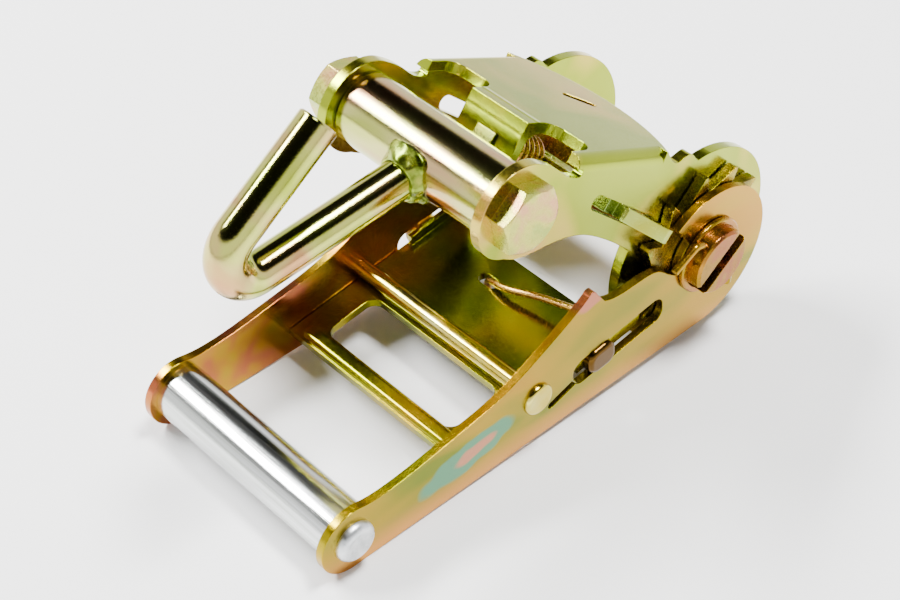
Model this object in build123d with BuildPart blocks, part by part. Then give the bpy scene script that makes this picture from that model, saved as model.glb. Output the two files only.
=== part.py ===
from build123d import *
from math import sin, cos, radians, degrees, asin, atan, sqrt, tan
import os

os.makedirs("parts", exist_ok=True)

# Ratchet tensioner for 50 mm lashing webbing, with a single finger hook.
# Millimetres. X runs along the axle and +X is the near side. The handle lies on the floor
# with its grip towards -Y, and the frame stands folded up over it.

# ---------------------------------------------------------------- driving dimensions
webbing_width = 50.0
inner_width = webbing_width + 3.0        # between the frame walls
sheet = 3.0                              # frame sheet
handle_sheet = 2.3
wheel_thickness = 3.0
running_fit = 0.08                       # radial clearance of turning joints

wall_in = inner_width / 2
wall_out = wall_in + sheet
wheel_in = wall_out + 0.5
handle_in = wheel_in + wheel_thickness + 0.4
handle_out = handle_in + handle_sheet

# Angles in the side view, at rest
fold = 43.7                              # handle arm to frame arm
hook_swing = 40.7                        # frame arm to hook stem
slit_angle = 30.0                        # spool slit below the handle arm

# Handle side plate, measured from the axle
grip_reach = 130.0
end_radius = 10.2
grip_radius = 8.0
grip_pin_radius = 4.0
rivet_radius = 5.9
rivet_height = 2.5
cross_rod_at = (-66.0, -3.0)
cross_rod_radius = 2.6
cross_head_radius = 4.8
cross_head_height = 1.4
head_centre = (0.0, -3.0)
head_radius = 23.3

# Spool and ratchet wheels
spool_radius = 9.8
slit_width = 4.6
spool_end = 41.4
teeth = 12
tip_radius = 25.0
root_radius = 19.4
tooth_face = 142.5                       # steep face of one tooth
washer_radius = 11.6
washer_thickness = 1.3
pin_leg_radius = 1.1
pin_station = 38.7

# Frame, measured from the axle along the frame arm (u) and outwards (v)
hook_reach = 85.7
ear_radius = 13.1
wall_head_radius = 29.5
base_front = 69.7
base_corner = 34.5                       # rear end of the base at the walls
base_rear = 26.0                         # rear end of the base at the middle
base_height = 23.5                       # outer face of the base at u = 34
base_fall = 0.194
tab_half = 10.0
tab_drop = 3.0
tab_bend = 5.0
notch_half = 25.2
notch_depth = 60.5
slot_angle = 6.4                         # lock pawl slot to the frame arm

# Hook
bolt_radius = 5.0
bolt_flats = 17.0
bolt_head = 5.2
chamfer_radius = 8.3                     # where the 30 degree cone meets the flat end
nut_height = 8.0
tube_radius = 10.05
hook_wire = 5.25                         # radius of the hook bar
hook_stem = 56.7
hook_bend = 8.4
hook_turn = 148.2
hook_leg = 32.3

# Pawls
nose_clear = 0.4                         # both pawls rest clear of the tooth tips by this
pawl_thickness = 4.0
pawl_slot = 4.6
ear_reach = 36.8
plate_top = -6.0
plate_sheet = 2.5

# The floor touches the grip ends and the wall heads, which sets the handle's tilt.
handle_tilt = degrees(asin((wall_head_radius - end_radius) / grip_reach))
frame_tilt = handle_tilt - fold
hook_tilt = frame_tilt + hook_swing
pawl_tilt = frame_tilt - slot_angle

# The origin is on the floor, midway between the hook's bend and the wall heads.
axle_y = 55.73
axle_z = wall_head_radius


def side_plane(tilt, x, origin=(0.0, 0.0), about=None):
    """Plane square to the axle at station x, its x axis tilted up from +Y; arms lie at -x."""
    c, s = cos(radians(tilt)), sin(radians(tilt))
    base_y, base_z = about if about else (axle_y, axle_z)
    return Plane(
        origin=(x, base_y + origin[0] * c - origin[1] * s, base_z + origin[0] * s + origin[1] * c),
        x_dir=(0, c, s),
        z_dir=(1, 0, 0),
    )


def plan_plane(tilt, height):
    """Plane holding the axle direction and a tilted arm; its x axis is +X and arms lie at -y."""
    c, s = cos(radians(tilt)), sin(radians(tilt))
    return Plane(origin=(0, axle_y - height * s, axle_z + height * c), x_dir=(1, 0, 0), z_dir=(0, -s, c))


def polar(radius, angle):
    return (radius * cos(radians(angle)), radius * sin(radians(angle)))


def save(solid, label):
    solid.label = label
    export_step(solid, f"parts/{label}.step")


# ---------------------------------------------------------------- handle side plates
# Round grip end, waist, stop lug, a notch down to the washer and a head round the axle.
grip_centre = (-grip_reach, 0.0)
head_bottom = (head_centre[0] - 2.6, head_centre[1] - 23.15)
end_bottom = (-grip_reach - 1.0, -sqrt(end_radius**2 - 1.0))
end_top = (-grip_reach + 4.0, sqrt(end_radius**2 - 16.0))
ring_start = (-11.4, head_centre[1] + sqrt(head_radius**2 - 11.4**2))
notch_radius = 12.0
drive_slot = (-52.8, -18.0)              # rear and front end
slot_middle = -6.6
slot_height = 8.6
tail_slit = (-62.6, -50.5)


def handle_plate(x):
    """One side plate of the handle, from station x towards +X."""
    with BuildPart() as plate:
        with BuildSketch(side_plane(handle_tilt, x)):
            with BuildLine():
                ThreePointArc(end_bottom, (-grip_reach - end_radius, 0), end_top)
                Spline(
                    end_top,
                    (-115.0, 7.2), (-95.0, 7.2), (-76.0, 8.6), (-63.0, 12.4), (-48.0, 18.2),
                    tangents=((1.0, -0.4), (1.0, 0.44)),
                )
                Line((-48.0, 18.2), (-45.6, 19.5))
                ThreePointArc((-45.6, 19.5), (-43.9, 20.1), (-42.8, 18.8))
                Line((-42.8, 18.8), (-40.0, 13.6))
                Spline(
                    (-40.0, 13.6), (-33.0, 11.0), (-25.0, 10.0), (-20.0, 8.5), (-16.0, 4.6),
                    polar(notch_radius, 176),
                )
                ThreePointArc(polar(notch_radius, 176), polar(notch_radius, 152), polar(notch_radius, 128))
                Line(polar(notch_radius, 128), ring_start)
                ThreePointArc(ring_start, (head_centre[0] + head_radius, head_centre[1]), head_bottom)
                Line(head_bottom, end_bottom)
            make_face()
        extrude(amount=handle_sheet)
        with BuildSketch(side_plane(handle_tilt, x)):
            Circle(spool_radius + running_fit)
            with Locations(grip_centre):
                Circle(grip_pin_radius + 0.05)
            with Locations(cross_rod_at):
                Circle(cross_rod_radius + 0.05)
            with Locations(((drive_slot[0] + drive_slot[1]) / 2, slot_middle)):
                RectangleRounded(drive_slot[1] - drive_slot[0], slot_height, 3.4)
            with Locations(((tail_slit[0] + tail_slit[1]) / 2, slot_middle - 2.6)):
                SlotOverall(tail_slit[1] - tail_slit[0], 2.5, rotation=10)
        extrude(amount=handle_sheet, mode=Mode.SUBTRACT)
    return plate.part


save(handle_plate(handle_in), "handle_plate_near")
save(handle_plate(-handle_out), "handle_plate_far")

# ---------------------------------------------------------------- grip and cross rod
with BuildPart() as grip_tube:
    with BuildSketch(side_plane(handle_tilt, -handle_in)):
        with Locations(grip_centre):
            Circle(grip_radius)
            Circle(grip_pin_radius, mode=Mode.SUBTRACT)
    extrude(amount=2 * handle_in)
save(grip_tube.part, "grip_tube")


def rivet(centre, shank, head, height):
    """Through rivet with a domed head outside each handle plate."""
    with BuildPart() as pin:
        with BuildSketch(side_plane(handle_tilt, -handle_out, centre)):
            Circle(shank)
        extrude(amount=2 * handle_out)
        for start in (handle_out, -handle_out - height):
            with BuildSketch(side_plane(handle_tilt, start, centre)):
                Circle(head)
            extrude(amount=height)
        rims = pin.edges().filter_by(GeomType.CIRCLE).sort_by(Axis.X)
        fillet([rims[0], rims[-1]], radius=0.85 * height)
    return pin.part


save(rivet(grip_centre, grip_pin_radius, rivet_radius, rivet_height), "grip_rivet")
save(rivet(cross_rod_at, cross_rod_radius, cross_head_radius, cross_head_height), "cross_rod")

# ---------------------------------------------------------------- drive pawl
# A flat plate between the handle plates: prongs towards the wheels, lugs in the handle's
# slots, a window, and a finger bar with a curled-up front edge.
nose_radius = tip_radius + nose_clear
prong_tip = -sqrt(nose_radius**2 - plate_top**2)
prong_in = wheel_in + 0.2
plate_half = handle_in - 0.3
plate_front = -33.6
lug_front, lug_rear = -37.4, -47.4
flange_front, flange_rear = -25.9, -49.0
window_front, window_rear, window_half = -69.5, -87.5, 25.0
bar_rear = -93.4

with BuildPart() as drive_pawl:
    with BuildSketch(plan_plane(handle_tilt, plate_top - plate_sheet)):
        with BuildLine() as half:
            Polyline(
                (0, plate_front), (prong_in - 3.0, plate_front), (prong_in, plate_front + 3.0),
                (prong_in, prong_tip), (plate_half, prong_tip), (plate_half, bar_rear), (0, bar_rear),
            )
            mirror(half.line, about=Plane.YZ)
        make_face()
        with Locations((0, (window_front + window_rear) / 2)):
            RectangleRounded(2 * window_half, window_front - window_rear, 3.5, mode=Mode.SUBTRACT)
        with Locations((-5.6, -44.0)):
            SlotOverall(7.0, 3.6, mode=Mode.SUBTRACT)
    extrude(amount=plate_sheet)
    # crowned finger rest
    with BuildSketch(plan_plane(handle_tilt, plate_top - 0.5)):
        with Locations((0, (window_rear + bar_rear) / 2 + 0.2)):
            RectangleRounded(2 * plate_half - 7.0, 5.2, 2.5)
    extrude(amount=2.4)
    crown_top = drive_pawl.faces().sort_by(Axis((0, 0, 0), plan_plane(handle_tilt, 0).z_dir))[-1]
    fillet(crown_top.edges(), radius=1.6)
    for start in (plate_half - 1.0, -handle_out - 1.3):
        with BuildSketch(side_plane(handle_tilt, start)):
            with Locations(((lug_front + lug_rear) / 2, slot_middle)):
                RectangleRounded(lug_front - lug_rear, slot_height - 0.6, 3.3)
        extrude(amount=handle_out + 2.3 - plate_half)
    # side flanges behind the handle's slots
    for start in (plate_half - 1.6, -plate_half):
        with BuildSketch(side_plane(handle_tilt, start)):
            with Locations(((flange_front + flange_rear) / 2, slot_middle)):
                Rectangle(flange_front - flange_rear, slot_height - 1.4)
        extrude(amount=1.6)
    # rounded outer ends of the lugs
    lug_ends = drive_pawl.faces().filter_by(Plane.YZ).sort_by(Axis.X)
    fillet(lug_ends[0].edges() + lug_ends[-1].edges(), radius=1.4)
save(drive_pawl.part, "drive_pawl")

# Wire spring of the drive pawl: up through the plate's hole and out to the near slot.
wire_radius = 1.0
wire_plane = plan_plane(handle_tilt, 0)
wire_path = [
    (-5.6, -44.0, plate_top - plate_sheet - 3.0), (-5.4, -44.0, plate_top + 0.2),
    (0.0, -44.6, plate_top + 2.4),
    (10.0, -42.5, plate_top + 4.6), (20.0, -40.4, plate_top + 6.4), (27.5, -39.0, plate_top + 7.4),
]
with BuildPart() as drive_spring:
    with BuildLine() as drive_wire:
        Spline(*[wire_plane.from_local_coords(Vector(*p)) for p in wire_path])
    with BuildSketch(Plane(origin=drive_wire.line @ 0, z_dir=drive_wire.line % 0)):
        Circle(wire_radius)
    sweep()
save(drive_spring.part, "drive_pawl_spring")

# ---------------------------------------------------------------- spool
# Two half-round bars with the webbing slit between them.
slit_tilt = handle_tilt + slit_angle


def spool_half(sign):
    with BuildPart() as bar:
        with BuildSketch(side_plane(slit_tilt, -spool_end)):
            Circle(spool_radius)
            with Locations((0, -sign * (spool_radius + 1 - slit_width / 2))):
                Rectangle(2 * spool_radius + 2, 2 * spool_radius + 2, mode=Mode.SUBTRACT)
        extrude(amount=2 * spool_end)
        chamfer(bar.faces().filter_by(Axis.X).edges().filter_by(GeomType.CIRCLE), 0.7)
        with BuildSketch(Plane(origin=(pin_station, axle_y, axle_z), z_dir=side_plane(slit_tilt, 0).y_dir)):
            Circle(pin_leg_radius + 0.05)
        extrude(amount=30, both=True, mode=Mode.SUBTRACT)
        with BuildSketch(Plane(origin=(-pin_station, axle_y, axle_z), z_dir=side_plane(slit_tilt, 0).y_dir)):
            Circle(pin_leg_radius + 0.05)
        extrude(amount=30, both=True, mode=Mode.SUBTRACT)
    return bar.part


save(spool_half(1), "spool_half_a")
save(spool_half(-1), "spool_half_b")

# ---------------------------------------------------------------- ratchet wheels


def ratchet_wheel(x):
    """Ratchet wheel from station x towards +X, bored for the two bars of the spool."""
    with BuildPart() as wheel:
        with BuildSketch(side_plane(handle_tilt, x)):
            with BuildLine():
                for n in range(teeth):
                    face = tooth_face + n * 360 / teeth
                    tip_in, tip_out = polar(tip_radius, face), polar(tip_radius, face + 2.6)
                    foot = polar(root_radius, face + 360 / teeth - 2.0)
                    Line(polar(root_radius, face - 2.0), tip_in)
                    ThreePointArc(tip_in, polar(tip_radius, face + 1.3), tip_out)
                    ThreePointArc(tip_out, polar(20.9, face + 360 / teeth - 14.0), foot)
            make_face()
            with BuildSketch(mode=Mode.PRIVATE) as bore:
                Circle(spool_radius + 0.02)
                with Locations((0, 0)):
                    Rectangle(4 * spool_radius, slit_width - 0.04, rotation=slit_angle, mode=Mode.SUBTRACT)
            add(bore.sketch, mode=Mode.SUBTRACT)
        extrude(amount=wheel_thickness)
    return wheel.part


save(ratchet_wheel(wheel_in), "ratchet_wheel_near")
save(ratchet_wheel(-wheel_in - wheel_thickness), "ratchet_wheel_far")

# ---------------------------------------------------------------- washers and split pins
for side, name in ((1, "near"), (-1, "far")):
    start = handle_out + 0.3 if side > 0 else -handle_out - 0.3 - washer_thickness
    with BuildPart() as washer:
        with BuildSketch(side_plane(handle_tilt, start)):
            Circle(washer_radius)
            Circle(spool_radius + 0.02, mode=Mode.SUBTRACT)
        extrude(amount=washer_thickness)
        outer_face = washer.faces().sort_by(Axis.X)[-1 if side > 0 else 0]
        chamfer(outer_face.edges().sort_by(SortBy.LENGTH)[-1], 0.4)
    save(washer.part, f"spool_washer_{name}")

    # Round wire through both bars, square to the slit, with its ends bent over the spool.
    start_plane = side_plane(slit_tilt, side * pin_station)
    leg_in = [(-2.4, -spool_radius - 4.4), (0.0, -spool_radius - 1.6), (0.0, spool_radius + 1.2)]
    leg_out = [(-1.6, spool_radius + 3.4), (-10.5, spool_radius + 5.0)]
    with BuildPart() as split_pin:
        with BuildLine() as pin_line:
            corners = [start_plane.from_local_coords(Vector(p[0], p[1], 0)) for p in leg_in + leg_out]
            FilletPolyline(*corners, radius=1.4)
        with BuildSketch(Plane(origin=pin_line.line @ 0, z_dir=pin_line.line % 0)):
            Circle(pin_leg_radius)
        sweep()
    save(split_pin.part, f"split_pin_{name}")

# ---------------------------------------------------------------- frame
# One pressed channel: two walls, the sloping base with its bowed rear edge, front notches
# and a bent-down tab that carries the lock pawl's tail.


def base_outer(u):
    return base_height - base_fall * (u - 34.0)


def frame_point(u, v):
    """World (y, z) of a point given along and outwards from the frame arm."""
    c, s = cos(radians(frame_tilt)), sin(radians(frame_tilt))
    return (axle_y - u * c - v * s, axle_z - u * s + v * c)


base_bend = 3.6

with BuildPart() as frame_body:
    with BuildSketch(side_plane(frame_tilt, -wall_out)):
        with BuildLine():
            Polyline(
                (-base_front, base_outer(base_front)), (-base_rear + 1.0, base_outer(base_rear - 1.0)),
                (-base_rear + 1.0, base_outer(base_rear - 1.0) - sheet),
                (-base_front, base_outer(base_front) - sheet),
                close=True,
            )
        make_face()
    extrude(amount=2 * wall_out)
    # rear edge of the base, bowed towards the axle
    with BuildSketch(plan_plane(frame_tilt, 10.0)):
        with BuildLine():
            ThreePointArc((-wall_out, -base_corner), (0, -base_rear), (wall_out, -base_corner))
            Polyline((wall_out, -base_corner), (wall_out, 0), (-wall_out, 0), (-wall_out, -base_corner))
        make_face()
    extrude(amount=30, mode=Mode.SUBTRACT)
    # front notches either side of the tab
    with BuildSketch(plan_plane(frame_tilt, 8.0)):
        for side in (1, -1):
            with Locations((side * (tab_half + notch_half) / 2, -(notch_depth + 90) / 2)):
                RectangleRounded(notch_half - tab_half, 90 - notch_depth, 4.5)
        with Locations((0, -base_front - 15)):
            Rectangle(2 * tab_half, 30)
    extrude(amount=20, mode=Mode.SUBTRACT)
    # walls
    for start in (-wall_out, wall_in):
        with BuildSketch(side_plane(frame_tilt, start)):
            with BuildLine():
                Line((-base_front, base_outer(base_front)), (-base_corner, base_outer(base_corner)))
                Spline(
                    (-base_corner, base_outer(base_corner)), (-30.6, 21.4), (-27.4, 21.2), (-23.5, 24.3),
                    (-19.0, 23.2), polar(wall_head_radius, 118),
                    tangents=((0.9, -0.5), (cos(radians(28)), sin(radians(28)))),
                )
                ThreePointArc(
                    polar(wall_head_radius, 118), (wall_head_radius, 0), polar(wall_head_radius, 190.5)
                )
                Spline(
                    polar(wall_head_radius, 190.5), (-35.0, -4.2), (-46.0, -3.0),
                    (-55.0, -3.2), (-66.0, -6.9),
                    (-75.5, -11.6), (-82.0, -12.56),
                )
                ThreePointArc((-82.0, -12.56), (-hook_reach - ear_radius, 0), (-hook_reach, ear_radius))
                Spline(
                    (-hook_reach, ear_radius), (-78.0, 12.5), (-70.6, 11.3), (-67.4, 12.4),
                    (-base_front, base_outer(base_front)),
                    tangents=((1, 0), (-0.3, 1.0)),
                )
            make_face()
        extrude(amount=sheet)
    # rounded bends between the base and the walls
    base_tilt = frame_tilt + degrees(atan(base_fall))
    bend_start = frame_point(base_front + 2.0, base_outer(base_front + 2.0))
    along_base = side_plane(base_tilt, 0, about=bend_start)
    bend_plane = Plane(origin=along_base.origin, x_dir=(1, 0, 0), z_dir=-along_base.x_dir)
    with BuildSketch(bend_plane):
        for side in (1, -1):
            with Locations((side * (wall_out - base_bend / 2), -base_bend / 2)):
                Rectangle(base_bend + 0.02, base_bend)
        for side in (1, -1):
            with Locations((side * (wall_out - base_bend), -base_bend)):
                Circle(base_bend, mode=Mode.SUBTRACT)
    extrude(amount=-(base_front - base_corner + 2.4), mode=Mode.SUBTRACT)
    # front tab
    with BuildSketch(side_plane(frame_tilt, -tab_half)):
        with BuildLine():
            top = base_outer(base_front - tab_bend)
            bend_start = (-base_front + tab_bend, top)
            bend_end = (-base_front, top - tab_bend)
            Polyline((-60.0, base_outer(60.0) - sheet), (-60.0, base_outer(60.0)), bend_start)
            ThreePointArc(bend_start, (-base_front + 0.32 * tab_bend, top - 0.26 * tab_bend), bend_end)
            Polyline(
                bend_end, (-base_front, tab_drop), (-base_front + sheet, tab_drop),
                (-base_front + sheet, top - tab_bend - 0.4), (-base_front + sheet + 2.0, top - sheet - 0.6),
                (-60.0, base_outer(60.0) - sheet),
            )
        make_face()
    extrude(amount=2 * tab_half)
    # hole in the tab for the lock pawl's tail
    with BuildSketch(side_plane(pawl_tilt, -3.75)):
        with Locations((-base_front + 1.0, 0)):
            Rectangle(16.0, pawl_slot)
    extrude(amount=7.5, mode=Mode.SUBTRACT)
    # wall holes: spool bearing, bolt, lock pawl slot
    with BuildSketch(side_plane(frame_tilt, -wall_out)):
        Circle(spool_radius + running_fit)
        with Locations((-hook_reach, 0)):
            Circle(bolt_radius + 0.05)
    extrude(amount=2 * wall_out, mode=Mode.SUBTRACT)
    with BuildSketch(side_plane(pawl_tilt, -wall_out)):
        with Locations((-(23.8 + 57.0) / 2, 0)):
            SlotOverall(57.0 - 23.8, pawl_slot)
    extrude(amount=sheet, mode=Mode.SUBTRACT)
    with BuildSketch(side_plane(pawl_tilt, wall_in)):
        with Locations((-(23.8 + 57.0) / 2, 0)):
            SlotOverall(57.0 - 23.8, pawl_slot)
    extrude(amount=sheet, mode=Mode.SUBTRACT)
    # small curved slit in the base
    with BuildSketch(plan_plane(frame_tilt, 15.0)):
        with Locations((-0.6, -36.7)):
            SlotOverall(9.6, 2.4, rotation=33.5)
    extrude(amount=15, mode=Mode.SUBTRACT)
save(frame_body.part, "frame_body")

# ---------------------------------------------------------------- lock pawl
# Flat plate on the slot's line: body between the walls, guides in the wall slots, ears
# outside them that reach the wheels, and a tail through the tab inside a coil spring.
pawl_body = wall_in - 0.4
guide_front = nose_radius + 14.0
shoulder = 47.6
tail_half = 3.2
tail_end = base_front + 1.5

with BuildPart() as lock_pawl:
    with BuildSketch(plan_plane(pawl_tilt, -pawl_thickness / 2)):
        with BuildLine() as pawl_half:
            Polyline(
                (0, -31.5), (10.0, -31.5), (20.0, -nose_radius - 1.6), (wall_out, -nose_radius),
                (ear_reach, -nose_radius - 0.4), (ear_reach, -nose_radius - 2.4),
                (wall_out + 0.4, -guide_front),
                (pawl_body, -guide_front), (pawl_body, -44.0), (14.0, -shoulder), (tail_half, -shoulder),
                (tail_half, -tail_end), (0, -tail_end),
            )
            mirror(pawl_half.line, about=Plane.YZ)
        make_face()
        with Locations((0, -39.5)):
            Circle(2.4, mode=Mode.SUBTRACT)
    extrude(amount=pawl_thickness)
save(lock_pawl.part, "lock_pawl")

# Coil spring round the tail, between the pawl's shoulder and the tab.
coil_length = base_front - sheet - shoulder - 1.4
coil_centre = side_plane(pawl_tilt, 0, (-shoulder - 0.8, 0))
with BuildPart() as lock_spring:
    with BuildLine() as coil:
        Helix(
            pitch=coil_length / 7,
            height=coil_length,
            radius=4.9,
            center=coil_centre.origin,
            direction=coil_centre.x_dir * -1,
        )
    with BuildSketch(Plane(origin=coil.line @ 0, z_dir=coil.line % 0)):
        Circle(0.6)
    sweep(is_frenet=True)
save(lock_spring.part, "lock_pawl_spring")

# ---------------------------------------------------------------- hook and its bolt
bolt_y = axle_y - hook_reach * cos(radians(frame_tilt))
bolt_z = axle_z - hook_reach * sin(radians(frame_tilt))
bolt_at = (bolt_y, bolt_z)


with BuildPart() as hook_bolt:
    with BuildSketch(side_plane(frame_tilt + 17.6, wall_out, about=bolt_at)):
        RegularPolygon(bolt_flats / 2, 6, major_radius=False)
    extrude(amount=bolt_head)
    with Locations(side_plane(0, wall_out, about=bolt_at)):
        Cone(
            chamfer_radius + bolt_head / tan(radians(30)), chamfer_radius, bolt_head,
            align=(Align.CENTER, Align.CENTER, Align.MIN), mode=Mode.INTERSECT,
        )
    with BuildSketch(side_plane(0, -wall_out - nut_height - 2.0, about=bolt_at)):
        Circle(bolt_radius)
    extrude(amount=2 * wall_out + nut_height + 2.0)
    chamfer(hook_bolt.faces().sort_by(Axis.X)[0].edges(), 0.8)
save(hook_bolt.part, "hook_bolt")

with BuildPart() as hook_nut:
    with BuildSketch(side_plane(frame_tilt + 24, -wall_out - nut_height, about=bolt_at)):
        RegularPolygon(bolt_flats / 2, 6, major_radius=False)
    extrude(amount=nut_height)
    with Locations(side_plane(0, -wall_out - nut_height, about=bolt_at)):
        Cone(
            chamfer_radius, chamfer_radius + nut_height / tan(radians(30)), nut_height,
            align=(Align.CENTER, Align.CENTER, Align.MIN), mode=Mode.INTERSECT,
        )
    with BuildSketch(side_plane(0, -wall_out - nut_height, about=bolt_at)):
        Circle(bolt_radius)
    extrude(amount=nut_height, mode=Mode.SUBTRACT)
save(hook_nut.part, "hook_nut")

with BuildPart() as hook_tube:
    with BuildSketch(side_plane(0, -wall_in + 0.2, about=bolt_at)):
        Circle(tube_radius)
        Circle(bolt_radius + running_fit, mode=Mode.SUBTRACT)
    extrude(amount=inner_width - 0.4)
    chamfer(hook_tube.edges().filter_by(GeomType.CIRCLE).filter_by(lambda e: e.radius > 9), 0.5)
save(hook_tube.part, "hook_tube")

# Hook bar: straight stem off the tube, one tight bend, straight return leg.
hook_plane = side_plane(hook_tilt, 0, about=bolt_at)
with BuildPart() as finger_hook:
    with BuildLine(hook_plane) as bar_line:
        stem = Line((-tube_radius + 1.2, 0), (-hook_stem, 0))
        bend = CenterArc((-hook_stem, hook_bend), hook_bend, 270, -hook_turn)
        Line(bend @ 1, bend @ 1 + (bend % 1) * hook_leg)
    with BuildSketch(Plane(origin=bar_line.line @ 0, z_dir=bar_line.line % 0)):
        Circle(hook_wire)
    sweep()
    chamfer(finger_hook.faces().filter_by(GeomType.PLANE).sort_by(Axis.Z)[-1].edges(), 0.5)
    with BuildSketch(side_plane(0, -wall_in, about=bolt_at)):
        Circle(tube_radius + 0.02)
    extrude(amount=inner_width, mode=Mode.SUBTRACT)
save(finger_hook.part, "finger_hook")

# Weld bead where the stem meets the tube.
with BuildPart() as hook_weld:
    near_end = hook_plane.from_local_coords(Vector(-tube_radius - 2.6, 0, 0))
    with BuildSketch(Plane(origin=near_end, z_dir=hook_plane.x_dir)):
        Circle(hook_wire + 0.5)
    far_end = hook_plane.from_local_coords(Vector(-tube_radius + 2.2, 0, 0))
    with BuildSketch(Plane(origin=far_end, z_dir=hook_plane.x_dir)):
        Circle(hook_wire + 3.4)
    loft()
    with BuildSketch(side_plane(0, -wall_in, about=bolt_at)):
        Circle(tube_radius + 0.02)
    extrude(amount=inner_width, mode=Mode.SUBTRACT)
    weld_start = hook_plane.from_local_coords(Vector(-tube_radius - 6.0, 0, 0))
    with BuildSketch(Plane(origin=weld_start, z_dir=hook_plane.x_dir)):
        Circle(hook_wire + 0.02)
    extrude(amount=12, mode=Mode.SUBTRACT)
save(hook_weld.part, "hook_weld")
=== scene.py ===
from math import radians

import bmesh
import bpy
from mathutils import Matrix, Vector, noise


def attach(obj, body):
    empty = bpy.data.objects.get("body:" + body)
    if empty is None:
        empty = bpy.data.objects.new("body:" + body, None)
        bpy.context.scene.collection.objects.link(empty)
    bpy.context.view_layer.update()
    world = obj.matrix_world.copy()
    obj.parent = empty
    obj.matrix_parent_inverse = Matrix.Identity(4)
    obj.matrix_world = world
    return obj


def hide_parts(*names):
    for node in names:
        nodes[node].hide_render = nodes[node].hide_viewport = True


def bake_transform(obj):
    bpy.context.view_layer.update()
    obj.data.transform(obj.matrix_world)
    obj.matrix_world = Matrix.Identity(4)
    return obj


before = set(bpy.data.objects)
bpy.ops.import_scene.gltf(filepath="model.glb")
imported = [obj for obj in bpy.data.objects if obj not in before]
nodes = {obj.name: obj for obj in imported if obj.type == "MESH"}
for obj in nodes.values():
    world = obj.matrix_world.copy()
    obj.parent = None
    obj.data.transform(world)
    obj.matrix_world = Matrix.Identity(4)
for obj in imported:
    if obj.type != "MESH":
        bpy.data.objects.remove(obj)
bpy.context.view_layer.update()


# ------------------------------------------------------------------ handle side plates
# Two blanked steel plates, the long arms of the tool. Zinc plated and dipped in yellow
# chromate, whose thin film drifts between yellow, green and pink along the sheet.
def linear(code):
    """sRGB hex to the linear values a shader takes."""
    channels = [int(code[i:i + 2], 16) / 255 for i in (1, 3, 5)]
    return [c / 12.92 if c <= 0.04045 else ((c + 0.055) / 1.055) ** 2.4 for c in channels] + [1.0]


def add(tree, kind, settings=None, **links):
    """Adds a shader node. Settings are its attributes, or values of inputs; links feed inputs."""
    made = tree.nodes.new(kind)
    for key, value in (settings or {}).items():
        if key in made.inputs:
            made.inputs[key].default_value = value
        else:
            setattr(made, key, value)
    for key, source in links.items():
        tree.links.new(source, made.inputs[key.replace("_", " ")])
    return made


# How much deeper than its hex colour a film is laid on.
film_depth = 1.9


def deepened(code):
    """A colour made deeper, as thick chromate over a bright metal is; the painted highlight and
    painted shade colours are deepened the same way.
    """
    return [c ** film_depth for c in linear(code)]


def paint_ramp(ramp, colours):
    """Spreads colours evenly along a colour ramp, from 0.3 to 0.7 where noise mostly lies."""
    stops = ramp.color_ramp.elements
    while len(stops) < len(colours):
        stops.new(0.5)
    for i, code in enumerate(colours):
        stops[i].position = 0.3 + 0.4 * i / (len(colours) - 1)
        stops[i].color = deepened(code)


def chromate_zinc(name, film, patch_mm, start=(0, 0, 0), stretch=(1, 1, 1), rough=0.2,
                  grain_mm=0.9, dirt=0.0, pits_depth=0.03):
    """Yellow-chromate zinc: a mirror-like metal whose film colour drifts over patches."""
    material = bpy.data.materials.new(name)
    material.use_nodes = True
    tree = material.node_tree
    shader = tree.nodes["Principled BSDF"]
    shader.inputs["Metallic"].default_value = 1.0
    place = add(tree, "ShaderNodeTexCoord").outputs["Object"]
    moved = add(tree, "ShaderNodeMapping", {"Location": start, "Scale": stretch}, Vector=place)
    drift = add(tree, "ShaderNodeTexNoise",
                {"Scale": 1000 / patch_mm, "Detail": 2.0, "Roughness": 0.45, "Distortion": 0.3},
                Vector=moved.outputs["Vector"])
    colour = add(tree, "ShaderNodeValToRGB", Fac=drift.outputs["Fac"])
    paint_ramp(colour, film)
    grain = add(tree, "ShaderNodeTexNoise",
                {"Scale": 1000 / grain_mm, "Detail": 5.0, "Roughness": 0.65}, Vector=place)
    gloss = add(tree, "ShaderNodeMapRange",
                {"From Min": 0.35, "From Max": 0.65, "To Min": rough * 0.85, "To Max": rough * 1.2},
                Value=grain.outputs["Fac"])
    speck = add(tree, "ShaderNodeMapRange",
                {"From Min": 0.66, "From Max": 0.74, "To Min": 0.0, "To Max": dirt},
                Value=grain.outputs["Fac"])
    worn = add(tree, "ShaderNodeMix", {"data_type": "RGBA"}, Factor=speck.outputs["Result"])
    tree.links.new(colour.outputs["Color"], worn.inputs[6])
    worn.inputs[7].default_value = linear("#3A3418")
    soft_edge = add(tree, "ShaderNodeBevel", {"samples": 6, "Radius": 0.00035})
    pits = add(tree, "ShaderNodeBump", {"Strength": pits_depth, "Distance": 0.0001},
               Height=grain.outputs["Fac"], Normal=soft_edge.outputs["Normal"])
    tree.links.new(worn.outputs[2], shader.inputs["Base Color"])
    tree.links.new(gloss.outputs["Result"], shader.inputs["Roughness"])
    tree.links.new(pits.outputs["Normal"], shader.inputs["Normal"])
    return material


def finish_with(material, *names):
    """Puts one finish on the named nodes of the model."""
    for name in names:
        slots = nodes[name].material_slots
        for slot in slots:
            slot.material = material
        if not slots:
            nodes[name].data.materials.append(material)


def overlay(material, factor, code):
    """Lays one more colour over a finish, where factor is 1; it carries film colours and also the
    painted highlight and painted shade on the drive pawl.
    """
    tree = material.node_tree
    shader = tree.nodes["Principled BSDF"]
    under = shader.inputs["Base Color"].links[0].from_socket
    over = add(tree, "ShaderNodeMix", {"data_type": "RGBA"}, Factor=factor)
    tree.links.new(under, over.inputs[6])
    over.inputs[7].default_value = deepened(code)
    tree.links.new(over.outputs[2], shader.inputs["Base Color"])


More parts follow.
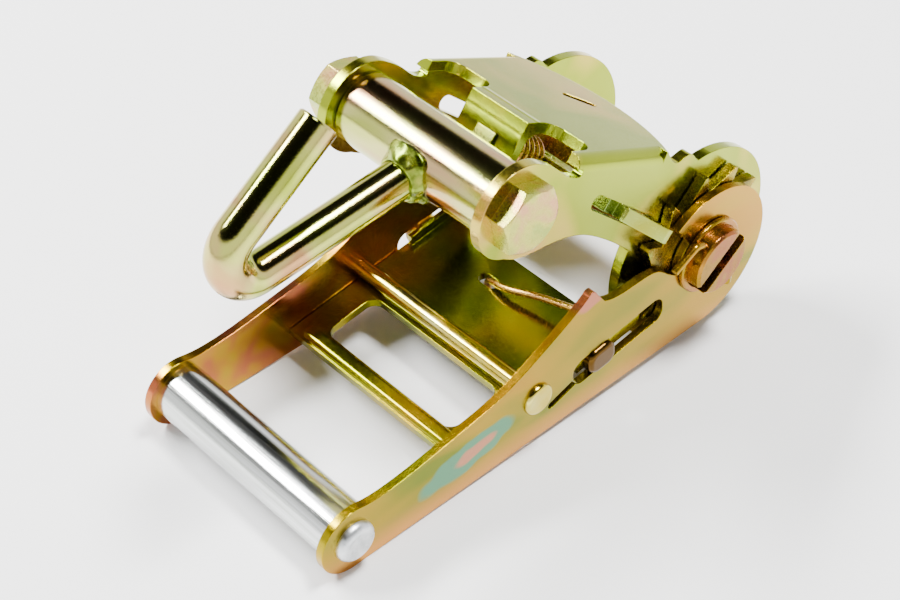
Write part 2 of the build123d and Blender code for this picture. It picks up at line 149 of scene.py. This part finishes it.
def ring_patch(material, centre, radii, lean, inner, outer, wobble_mm):
    """Factor that is 1 between two fractions of an ellipse in the YZ plane, with a wavy rim."""
    tree = material.node_tree
    place = add(tree, "ShaderNodeTexCoord").outputs["Object"]
    local = add(tree, "ShaderNodeMapping",
                {"vector_type": "TEXTURE", "Location": centre,
                 "Rotation": (radians(lean), 0, 0), "Scale": (1.0, radii[0], radii[1])},
                Vector=place)
    wave = add(tree, "ShaderNodeTexNoise",
               {"Scale": 1000 / wobble_mm, "Detail": 1.0}, Vector=place)
    reach = add(tree, "ShaderNodeVectorMath", {"operation": "LENGTH"},
                Vector=local.outputs["Vector"])
    wavy = add(tree, "ShaderNodeMath", {"operation": "MULTIPLY_ADD"})
    tree.links.new(wave.outputs["Fac"], wavy.inputs[0])
    wavy.inputs[1].default_value = 0.5
    tree.links.new(reach.outputs["Value"], wavy.inputs[2])
    rim = add(tree, "ShaderNodeValToRGB", Fac=wavy.outputs["Value"])
    stops = rim.color_ramp.elements
    edges = [(inner - 0.1, 0.0), (inner, 1.0), (outer, 1.0), (outer + 0.12, 0.0)]
    while len(stops) < len(edges):
        stops.new(0.5)
    for stop, (at, level) in zip(stops, edges):
        stop.position = min(max(at, 0.0), 1.0)
        stop.color = (level, level, level, 1.0)
    return rim.outputs["Color"]


# Thick yellow chromate on the near plate: broad olive to gold drift, a tan band where the
# plate drained, and one teal and pink bloom near the grip end.
near_plate_zinc = chromate_zinc(
    "yellow zinc, handle near", ["#A2AA24", "#C2B418", "#D0B820", "#D2B23C"], 24,
    start=(0.1, 0.012, 0.004), stretch=(1, 0.6, 1.6), rough=0.22)
tree = near_plate_zinc.node_tree
rise = add(tree, "ShaderNodeSeparateXYZ",
           Vector=add(tree, "ShaderNodeTexCoord").outputs["Object"])
low_band = add(tree, "ShaderNodeMapRange", {"From Min": 0.0095, "From Max": 0.002},
               Value=rise.outputs["Z"])
overlay(near_plate_zinc, low_band.outputs["Result"], "#DEB872")
patch_centre, patch_radii = (0.0357, -0.0330, 0.0125), (0.024, 0.0075)
for inner, outer, code in ((0.50, 0.85, "#92BAA2"), (0.0, 0.46, "#D8B098")):
    bloom = ring_patch(near_plate_zinc, patch_centre, patch_radii, 10, inner, outer, 9)
    overlay(near_plate_zinc, bloom, code)
lug_centre, lug_radii = (0.0357, 0.0125, 0.0425), (0.014, 0.007)
blush = ring_patch(near_plate_zinc, lug_centre, lug_radii, 20, 0.0, 0.80, 9)
overlay(near_plate_zinc, blush, "#D8A890")
# The far plate's inside took a patchier film: gold, olive and pink in finger-wide areas.
far_plate_zinc = chromate_zinc(
    "yellow zinc, handle far", ["#C8BC34", "#D0B050", "#CC9478", "#B89A3C"], 16,
    start=(0.4, 0.1, 0.2), rough=0.2)
finish_with(near_plate_zinc, "handle_plate_near")
finish_with(far_plate_zinc, "handle_plate_far")


# ------------------------------------------------------------------ grip and cross rod
# Grip tube and its through rivet, plated clear instead of yellow, so they stay silver. The
# cross rod, riveted between the plates, has a thin yellow film. Drawn stock shows fine
# straight lines along its length.
def bright_zinc(name, tint, rough, line_mm):
    """Clear zinc on drawn steel: bright, with fine lines along X."""
    material = bpy.data.materials.new(name)
    material.use_nodes = True
    tree = material.node_tree
    shader = tree.nodes["Principled BSDF"]
    shader.inputs["Metallic"].default_value = 1.0
    place = add(tree, "ShaderNodeTexCoord").outputs["Object"]
    along = add(tree, "ShaderNodeMapping", {"Scale": (0.02, 1, 1)}, Vector=place)
    lines = add(tree, "ShaderNodeTexNoise",
                {"Scale": 1000 / line_mm, "Detail": 4.0, "Roughness": 0.6},
                Vector=along.outputs["Vector"])
    shade = add(tree, "ShaderNodeValToRGB", Fac=lines.outputs["Fac"])
    paint_ramp(shade, [tint, "#F0F1F2"])
    gloss = add(tree, "ShaderNodeMapRange",
                {"From Min": 0.3, "From Max": 0.7, "To Min": rough, "To Max": rough * 1.8},
                Value=lines.outputs["Fac"])
    soft_edge = add(tree, "ShaderNodeBevel", {"samples": 6, "Radius": 0.00035})
    drawn = add(tree, "ShaderNodeBump", {"Strength": 0.25, "Distance": 0.0002},
                Height=lines.outputs["Fac"], Normal=soft_edge.outputs["Normal"])
    tree.links.new(shade.outputs["Color"], shader.inputs["Base Color"])
    tree.links.new(gloss.outputs["Result"], shader.inputs["Roughness"])
    tree.links.new(drawn.outputs["Normal"], shader.inputs["Normal"])
    return material


# Bright silver with long grey streaks, a satin rivet head, a pale straw cross rod.
finish_with(bright_zinc("clear zinc, grip", "#D6D9D4", 0.12, 1.1), "grip_tube")
finish_with(bright_zinc("clear zinc, rivet", "#D2D5D6", 0.25, 3.0), "grip_rivet")
rod_zinc = chromate_zinc("yellow zinc, cross rod", ["#DCCC60", "#E6DA88", "#EAE6B0"], 9,
                         rough=0.16)
finish_with(rod_zinc, "cross_rod")

# ------------------------------------------------------------------ drive pawl
# Pressed plate that slides in the handle, yellow chromate over zinc, greener than the
# handle. Its wire spring is the same finish on drawn spring steel.
# Dark olive green on the broad plate; brown gold on the thin wire.
pawl_zinc = chromate_zinc("yellow zinc, drive pawl", ["#98A220", "#B0AE28", "#C4B448"], 22,
                          start=(0.2, 0.3, 0.1), rough=0.2)
wire_zinc = chromate_zinc("yellow zinc, spring wire", ["#D2B460", "#E0C888", "#E0B898"], 6,
                          rough=0.25)
# Painted light on the pawl: a bright yellow painted highlight on the outer flanges, and a brown
# painted shade on the lugs behind the slots for the dark they reflect.
tree = pawl_zinc.node_tree
across = add(tree, "ShaderNodeSeparateXYZ",
             Vector=add(tree, "ShaderNodeTexCoord").outputs["Object"])
reach = add(tree, "ShaderNodeMath", {"operation": "ABSOLUTE"}, Value=across.outputs["X"])
flange_painted_highlight = add(tree, "ShaderNodeMapRange", {"From Min": 0.0329, "From Max": 0.0330},
                Value=reach.outputs["Value"])
lug_painted_shade = add(tree, "ShaderNodeMapRange", {"From Min": 0.0334, "From Max": 0.0342},
             Value=reach.outputs["Value"])
# Painted highlight: bright yellow where the flanges face the light.
overlay(pawl_zinc, flange_painted_highlight.outputs["Result"], "#E6E020")
# Painted shade: brown on the lugs, for the dark they reflect inside the slots.
overlay(pawl_zinc, lug_painted_shade.outputs["Result"], "#947E54")
finish_with(pawl_zinc, "drive_pawl")
finish_with(wire_zinc, "drive_pawl_spring", "lock_pawl_spring")


def spring_between(name, node):
    """A spring as in the CAD node, copied into a fixed mesh object of its own where the node stood;
    the node is hidden.
    """
    mesh = nodes[node].data.copy()
    mesh.name = name
    spring = bpy.data.objects.new(name, mesh)
    bpy.context.scene.collection.objects.link(spring)
    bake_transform(spring)
    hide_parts(node)


# The wire is anchored at the near slot and its tip goes down through the pawl's hole.
spring_between("pawl_wire", "drive_pawl_spring")

# ------------------------------------------------------------------ spool
# Two half-round bars, two blanked ratchet wheels, washers and wire split pins. The wheels
# are cut from plate, and their film is darker and browner.
# Half-round bars and washers are coppery gold; the wheels are darker, olive brown.
bar_zinc = chromate_zinc("yellow zinc, spool bars",
                         ["#B8A038", "#C8AC58", "#C89874", "#CCBC70"], 9, rough=0.24)
wheel_zinc = chromate_zinc("yellow zinc, ratchet wheels",
                           ["#847620", "#A8A038", "#C4B448", "#BEC05C"], 7, rough=0.26)
washer_zinc = chromate_zinc("yellow zinc, washers", ["#C0B040", "#CCB060", "#CC9C78"], 12,
                            rough=0.24)
finish_with(bar_zinc, "spool_half_a", "spool_half_b")
finish_with(wheel_zinc, "ratchet_wheel_near", "ratchet_wheel_far")
finish_with(washer_zinc, "spool_washer_near", "spool_washer_far", "split_pin_near", "split_pin_far")

# ------------------------------------------------------------------ frame and lock pawl
# Channel pressed from 3 mm sheet, yellow chromate over zinc: pale yellow-green with faint
# pink on the base. The lock pawl is the same finish on thicker plate.
# Broad pale areas with a soft sheen; the pawl is greener and a little duller.
frame_zinc = chromate_zinc("yellow zinc, frame", ["#C4CC66", "#C0C856", "#DCD07E", "#E2C098"],
                           34, start=(0.3, 0.0, 0.0), rough=0.2)
lock_zinc = chromate_zinc("yellow zinc, lock pawl", ["#C4D898", "#D2D890", "#CCC860"], 14,
                          rough=0.24)
finish_with(frame_zinc, "frame_body")
finish_with(lock_zinc, "lock_pawl")

# The coil spring is seated in the frame nose and presses on the pawl.
spring_between("lock_coil", "lock_pawl_spring")

# ------------------------------------------------------------------ hook bolt and nut
# M10 hexagon bolt and nut, forged, plated with the rest; greener with pink flats.
# Duller than the sheet, with small dark marks left by the forging.
bolt_zinc = chromate_zinc("yellow zinc, bolt", ["#CCD48C", "#DCDA90", "#E4C4A4"], 8,
                          start=(0, 0.2, 0), rough=0.27, dirt=0.3)
finish_with(bolt_zinc, "hook_bolt", "hook_nut")

# ------------------------------------------------------------------ hook and its tube
# Round bar bent cold into a finger hook and welded to a drawn tube. The film is streaked
# along the bar, with dark speckles where the plating is thin.
# Glossy bar stock with sharp reflections broken by fine pits; the weld is dark and mossy.
tube_zinc = chromate_zinc("yellow zinc, tube", ["#CCD288", "#DCDAA8", "#DCC8A8", "#D4B094"],
                          10, stretch=(0.35, 1, 1), rough=0.11, grain_mm=0.5, dirt=0.5,
                          pits_depth=0.22)
hook_zinc = chromate_zinc("yellow zinc, hook bar", ["#C8D078", "#D8DA98", "#DCD0A0", "#DABC98"],
                          13, rough=0.10, grain_mm=0.5, dirt=0.5, pits_depth=0.22)
weld_zinc = chromate_zinc("yellow zinc, weld", ["#7C8844", "#B4C070", "#CCD080"], 4,
                          rough=0.24, dirt=0.8, pits_depth=0.2)
finish_with(tube_zinc, "hook_tube")
finish_with(hook_zinc, "finger_hook")

# The bead is laid by hand: a ring of lumps round the foot of the stem.
bead_mesh = nodes["hook_weld"].data.copy()
bead_mesh.name = "weld_bead"
lump_mm, lump_height = 3.2, 0.0010
shape = bmesh.new()
shape.from_mesh(bead_mesh)
bmesh.ops.remove_doubles(shape, verts=shape.verts, dist=0.00002)
bmesh.ops.triangulate(shape, faces=shape.faces)
for _ in range(3):
    longest = [e for e in shape.edges if e.calc_length() > 0.0008]
    bmesh.ops.subdivide_edges(shape, edges=longest, cuts=1, use_grid_fill=False)
    bmesh.ops.triangulate(shape, faces=shape.faces)
shape.normal_update()
for vert in shape.verts:
    vert.co += vert.normal * lump_height * (noise.noise(vert.co * 1000 / lump_mm) + 0.25)
bmesh.ops.smooth_vert(shape, verts=shape.verts, factor=0.5,
                      use_axis_x=True, use_axis_y=True, use_axis_z=True)
bmesh.ops.recalc_face_normals(shape, faces=shape.faces)
shape.to_mesh(bead_mesh)
shape.free()
bead_mesh.polygons.foreach_set("use_smooth", [True] * len(bead_mesh.polygons))
bead = bpy.data.objects.new("weld_bead", bead_mesh)
bpy.context.scene.collection.objects.link(bead)
bead_mesh.materials.clear()
bead_mesh.materials.append(weld_zinc)
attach(bead, "hook")
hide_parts("hook_weld")
finish_with(weld_zinc, "hook_weld")

# ------------------------------------------------------------------ floor, light and camera
# White table top, a bright surround that darkens overhead, and two soft boxes above. The
# bright horizon gives the metal its pale sides and the dark top its black bands.
bpy.ops.mesh.primitive_plane_add(size=6.0)
floor = bpy.context.object
floor.name = "table_top"
paper = bpy.data.materials.new("white paper")
paper.use_nodes = True
paper.node_tree.nodes["Principled BSDF"].inputs["Base Color"].default_value = linear("#F6F6F6")
paper.node_tree.nodes["Principled BSDF"].inputs["Roughness"].default_value = 0.9
floor.data.materials.append(paper)

# Bright to a little above the horizon, near black overhead.
world = bpy.data.worlds.new("surround")
bpy.context.scene.world = world
world.use_nodes = True
sky = world.node_tree
height = add(sky, "ShaderNodeSeparateXYZ",
             Vector=add(sky, "ShaderNodeTexCoord").outputs["Generated"])
fade = add(sky, "ShaderNodeValToRGB", Fac=height.outputs["Z"])
fade.color_ramp.elements[0].position = 0.40
fade.color_ramp.elements[0].color = linear("#FFFFFF")
fade.color_ramp.elements[1].position = 0.52
fade.color_ramp.elements[1].color = linear("#0C0C0A")
sky.links.new(fade.outputs["Color"], sky.nodes["Background"].inputs["Color"])
sky.nodes["Background"].inputs["Strength"].default_value = 1.7


def soft_box(name, place, target, width, depth, watts):
    """A rectangular area lamp at a place, turned to a target; metres and watts."""
    lamp = bpy.data.lights.new(name, "AREA")
    lamp.shape = "RECTANGLE"
    lamp.size, lamp.size_y, lamp.energy = width, depth, watts
    box = bpy.data.objects.new(name, lamp)
    bpy.context.scene.collection.objects.link(box)
    box.location = place
    box.rotation_euler = (Vector(target) - Vector(place)).to_track_quat("-Z", "Y").to_euler()


soft_box("soft box left", (-0.7, -0.35, 0.85), (0, 0, 0.05), 0.7, 0.18, 34)
soft_box("soft box top", (0.15, 0.25, 1.2), (0, 0, 0.05), 0.4, 0.25, 34)

camera = bpy.data.objects.new("camera", bpy.data.cameras.new("camera"))
bpy.context.scene.collection.objects.link(camera)
camera.data.lens = 78.68
camera.data.sensor_width = 36.0
azimuth, elevation, roll = 45.39, 42.42, 2.0
turn = (Matrix.Rotation(radians(azimuth), 4, "Z")
        @ Matrix.Rotation(radians(90 - elevation), 4, "X")
        @ Matrix.Rotation(radians(roll), 4, "Z"))
camera.matrix_world = Matrix.Translation((0.2768, -0.2802, 0.3812)) @ turn
camera.data.clip_start = 0.01
bpy.context.scene.camera = camera
